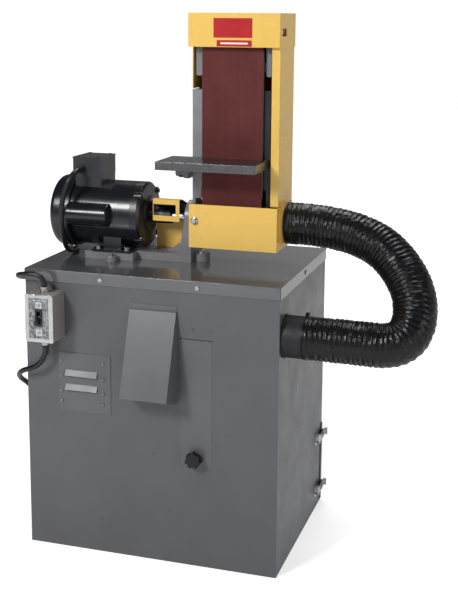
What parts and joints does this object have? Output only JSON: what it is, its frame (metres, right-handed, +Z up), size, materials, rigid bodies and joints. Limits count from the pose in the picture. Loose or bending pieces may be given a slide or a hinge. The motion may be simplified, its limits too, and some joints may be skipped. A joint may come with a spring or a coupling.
{
  "type": "stationary belt sander",
  "caption": "Upright belt sander with work table and direct-drive motor, standing on a dust-collector cabinet joined to it by a flexible hose.",
  "frame": {"origin": "centre of the cabinet's footprint, on the floor", "axes": "+X to the operator's right along the motor and drum shafts, +Y away from the operator, +Z up"},
  "size_m": [1.184, 0.6387, 1.331],
  "materials": {
    "cabinet_grey": "semi-gloss baked enamel",
    "cabinet_dark": "semi-gloss baked enamel",
    "yellow_paint": "gloss enamel",
    "black_paint": "gloss enamel",
    "cast_grey": "painted casting",
    "machined_iron": "ground",
    "steel": "turned",
    "zinc": "zinc plated",
    "aluminium": "turned",
    "stator_iron": "laminated, varnished",
    "abrasive": "coated aluminium oxide cloth",
    "filter_paper": "pleated felt",
    "black_rubber": "wire-wound corrugated, glossy",
    "cord_pvc": "satin PVC",
    "black_plastic": "moulded",
    "label_red": "printed decal",
    "plate_grey": "printed plate",
    "spider_orange": "polyurethane"
  },
  "bodies": {
    "cabinet": {"cabinet_body": "cabinet_grey", "cabinet_top": "cabinet_grey", "panel_screws": "zinc", "vent_panel": "cabinet_grey", "exhaust_hood": "cabinet_grey", "shaker_hinge": "cabinet_dark", "filter_cartridge": "filter_paper", "blower_housing": "cabinet_dark", "blower_motor": "black_paint", "dust_pan": "steel", "latch_bases": "zinc", "inlet_cuff": "black_rubber", "hose_clamp": "zinc", "starter_box": "cabinet_dark", "starter_cover": "zinc", "starter_plate": "plate_grey", "starter_switch": "black_plastic", "cord_glands": "black_plastic", "base_casting": "cast_grey", "base_bolts": "zinc", "motor_frame": "black_paint", "motor_stator": "stator_iron", "drive_bell": "black_paint", "fan_cover": "black_paint", "motor_bearings": "steel", "capacitor_cover": "black_paint", "conduit_box": "cast_grey", "coupling_guard": "yellow_paint", "dust_hose": "black_rubber", "motor_cord": "cord_pvc", "mains_lead": "cord_pvc", "lead_coil": "cord_pvc", "mains_plug": "black_plastic"},
    "drive_line": {"motor_rotor": "steel", "motor_fan": "black_plastic", "coupling_hubs": "steel", "coupling_spider": "spider_orange", "drive_shaft": "steel", "drive_drum": "aluminium"},
    "sander_arm": {"arm_frame": "cast_grey", "shaft_bearings": "steel", "platen": "steel", "sanding_belt": "abrasive", "belt_housing": "yellow_paint", "header_cover": "yellow_paint", "header_labels": "label_red", "lower_cover": "yellow_paint", "table_bracket": "cast_grey", "take_up_spring": "steel"},
    "take_up": {"idler_yoke": "cast_grey"},
    "idler": {"idler_drum": "aluminium"},
    "tracking": {"tracking_screw": "zinc"},
    "table": {"work_table": "machined_iron"},
    "shaker": {"shaker_flap": "cabinet_grey", "shaker_knob": "black_plastic"},
    "door": {"rear_door": "cabinet_grey"},
    "latch_upper": {"latch_lever_upper": "zinc"},
    "latch_lower": {"latch_lever_lower": "zinc"},
    "toggle": {"starter_toggle": "black_plastic"},
    "blower": {"blower_wheel": "aluminium"}
  },
  "joints": [
    {"name": "drive_spin", "type": "hinge", "parent": "cabinet", "child": "drive_line", "pos_m": [-0.16, -0.01, 0.8229], "axis": [1, 0, 0], "continuous": true},
    {"name": "arm_tilt", "type": "hinge", "parent": "cabinet", "child": "sander_arm", "pos_m": [0.034, -0.01, 0.8229], "axis": [-1, 0, 0], "range_deg": [0, 90]},
    {"name": "take_up_slide", "type": "slide", "parent": "sander_arm", "child": "take_up", "axis": [0, 0, 1], "range_m": [-0.022, 0], "stiffness_N_per_m": 4000, "springref_m": 0.02, "deforming": ["take_up_spring"]},
    {"name": "idler_spin", "type": "hinge", "parent": "take_up", "child": "idler", "pos_m": [0.152, -0.03, 1.29027], "axis": [1, 0, 0], "continuous": true},
    {"name": "tracking_turn", "type": "hinge", "parent": "take_up", "child": "tracking", "pos_m": [0.25, -0.03, 1.29027], "axis": [1, 0, 0], "range_deg": [-540, 540]},
    {"name": "table_tilt", "type": "hinge", "parent": "sander_arm", "child": "table", "pos_m": [0.031, -0.084, 0.946], "axis": [1, 0, 0], "range_deg": [0, 45]},
    {"name": "shaker_swing", "type": "hinge", "parent": "cabinet", "child": "shaker", "pos_m": [0.1195, -0.2327, 0.572], "axis": [-1, 0, 0], "range_deg": [0, 12]},
    {"name": "door_swing", "type": "hinge", "parent": "cabinet", "child": "door", "pos_m": [-0.3187, 0.2427, 0.115], "axis": [0, 0, 1], "range_deg": [0, 90]},
    {"name": "latch_upper_swing", "type": "hinge", "parent": "cabinet", "child": "latch_upper", "pos_m": [0.3297, 0.178, 0.2], "axis": [0, 0, -1], "range_deg": [0, 120]},
    {"name": "latch_lower_swing", "type": "hinge", "parent": "cabinet", "child": "latch_lower", "pos_m": [0.3297, 0.178, 0.052], "axis": [0, 0, -1], "range_deg": [0, 120]},
    {"name": "toggle_throw", "type": "hinge", "parent": "cabinet", "child": "toggle", "pos_m": [-0.256, -0.2957, 0.6095], "axis": [-1, 0, 0], "range_deg": [0, 44]},
    {"name": "blower_spin", "type": "hinge", "parent": "cabinet", "child": "blower", "pos_m": [-0.02, 0.02, 0.44], "axis": [1, 0, 0], "continuous": true}
  ],
  "couplings": [
    {"joint": "idler_spin", "follows": "drive_spin", "ratio": 1.5714}
  ]
}
